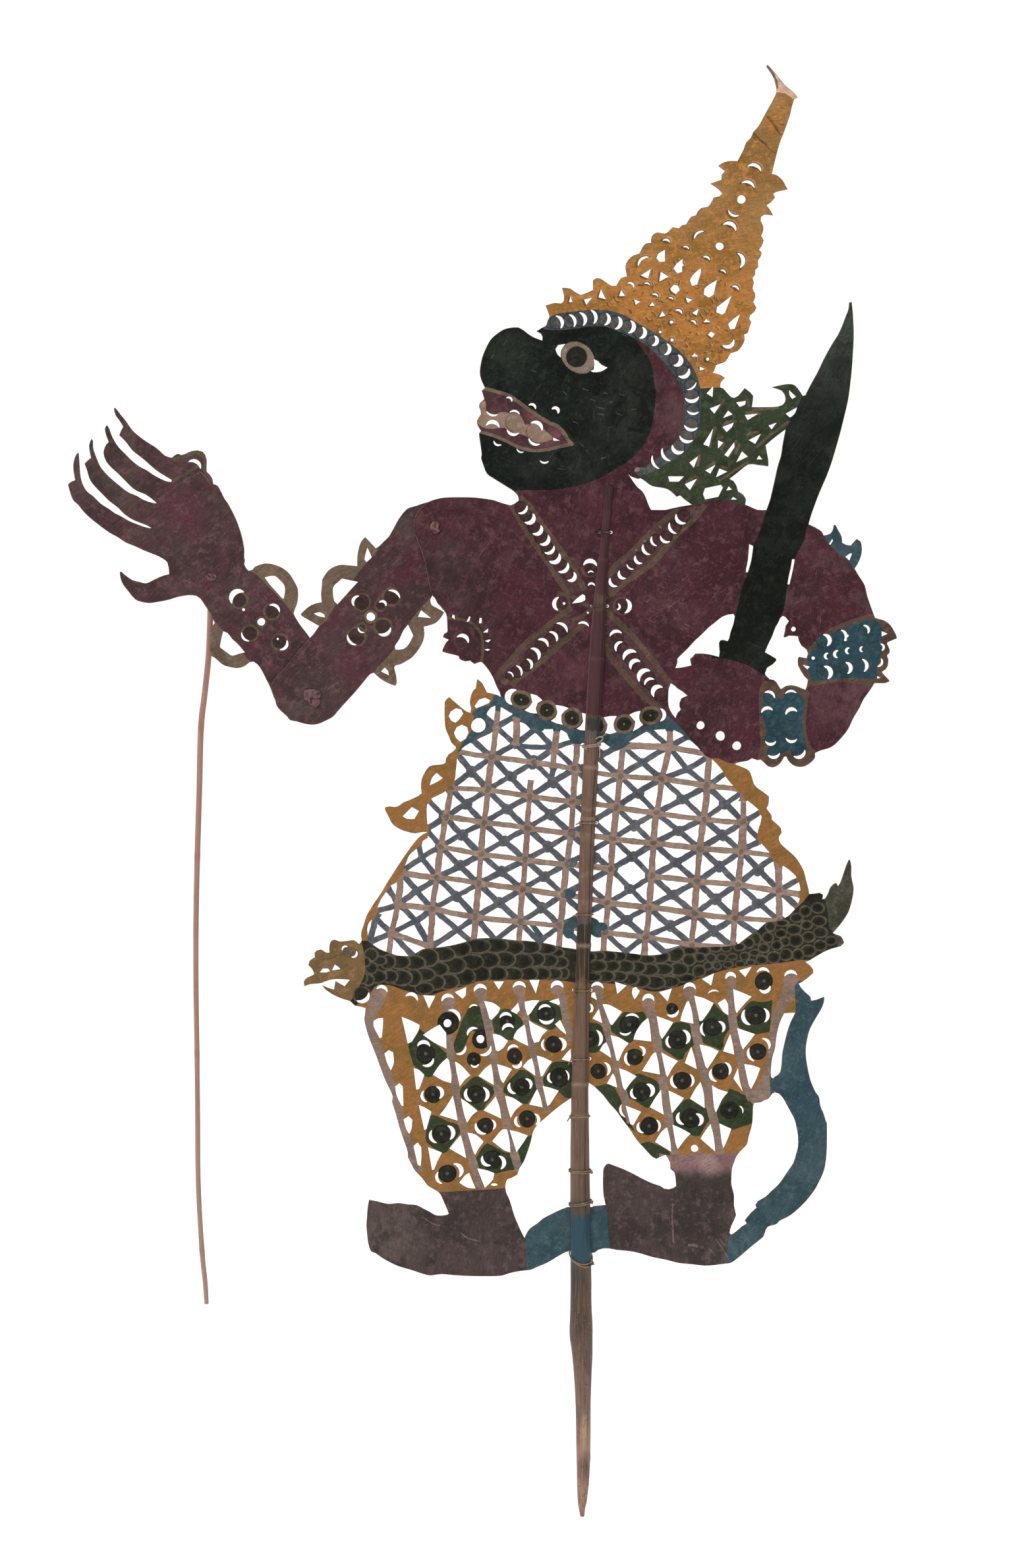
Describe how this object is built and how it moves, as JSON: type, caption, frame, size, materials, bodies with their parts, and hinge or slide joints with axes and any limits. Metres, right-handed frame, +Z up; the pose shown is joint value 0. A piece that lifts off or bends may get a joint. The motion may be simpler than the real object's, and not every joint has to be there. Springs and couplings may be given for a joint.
{
  "type": "wayang kulit shadow puppet",
  "caption": "Flat pierced and painted rawhide shadow puppet of a crowned warrior on a split bamboo stick, with a jointed arm moved by a thin rod.",
  "frame": {"origin": "middle of the round grip, on the axis of the stick", "axes": "+Z up along the stick, -Y is the painted side that faces the viewer, +X to the viewer's right, the figure faces -X"},
  "size_m": [0.4197, 0.0158, 0.7337],
  "materials": {
    "painted_hide": "thin matt water paint on scraped rawhide",
    "knot_hide": "rolled rawhide, painted over",
    "bamboo": "handled, satin",
    "rod_bamboo": "scraped, matt",
    "thread": "twisted cotton thread"
  },
  "bodies": {
    "figure": {"body_hide": "painted_hide", "split_stick": "bamboo", "shoulder_knot": "knot_hide", "tie_neck": "thread", "tie_chest": "thread", "tie_waist": "thread", "tie_skirt_upper": "thread", "tie_skirt_lower": "thread", "tie_belt": "thread", "tie_seat": "thread", "tie_leg_upper": "thread", "tie_leg_lower": "thread", "tie_tail_top": "thread", "tie_tail_bottom": "thread"},
    "upper_arm": {"upper_arm_hide": "painted_hide", "elbow_knot": "knot_hide"},
    "forearm": {"forearm_hide": "painted_hide"},
    "hand_loop": {"hand_loop": "thread"},
    "arm_rod": {"arm_rod": "rod_bamboo"}
  },
  "joints": [
    {"name": "shoulder_hinge", "type": "hinge", "parent": "figure", "child": "upper_arm", "pos_m": [-0.07333, 0.0015, 0.40633], "axis": [0, -1, 0], "range_deg": [-75, 30]},
    {"name": "elbow_hinge", "type": "hinge", "parent": "upper_arm", "child": "forearm", "pos_m": [-0.13633, 0.003, 0.32033], "axis": [0, -1, 0], "range_deg": [-30, 100]},
    {"name": "rod_turn", "type": "hinge", "parent": "forearm", "child": "hand_loop", "pos_m": [-0.188, 0.004, 0.38167], "axis": [0, -1, 0], "range_deg": [-110, 110]},
    {"name": "rod_tilt", "type": "hinge", "parent": "hand_loop", "child": "arm_rod", "pos_m": [-0.188, 0.008, 0.38167], "axis": [1, 0, 0], "range_deg": [0, 60]}
  ]
}
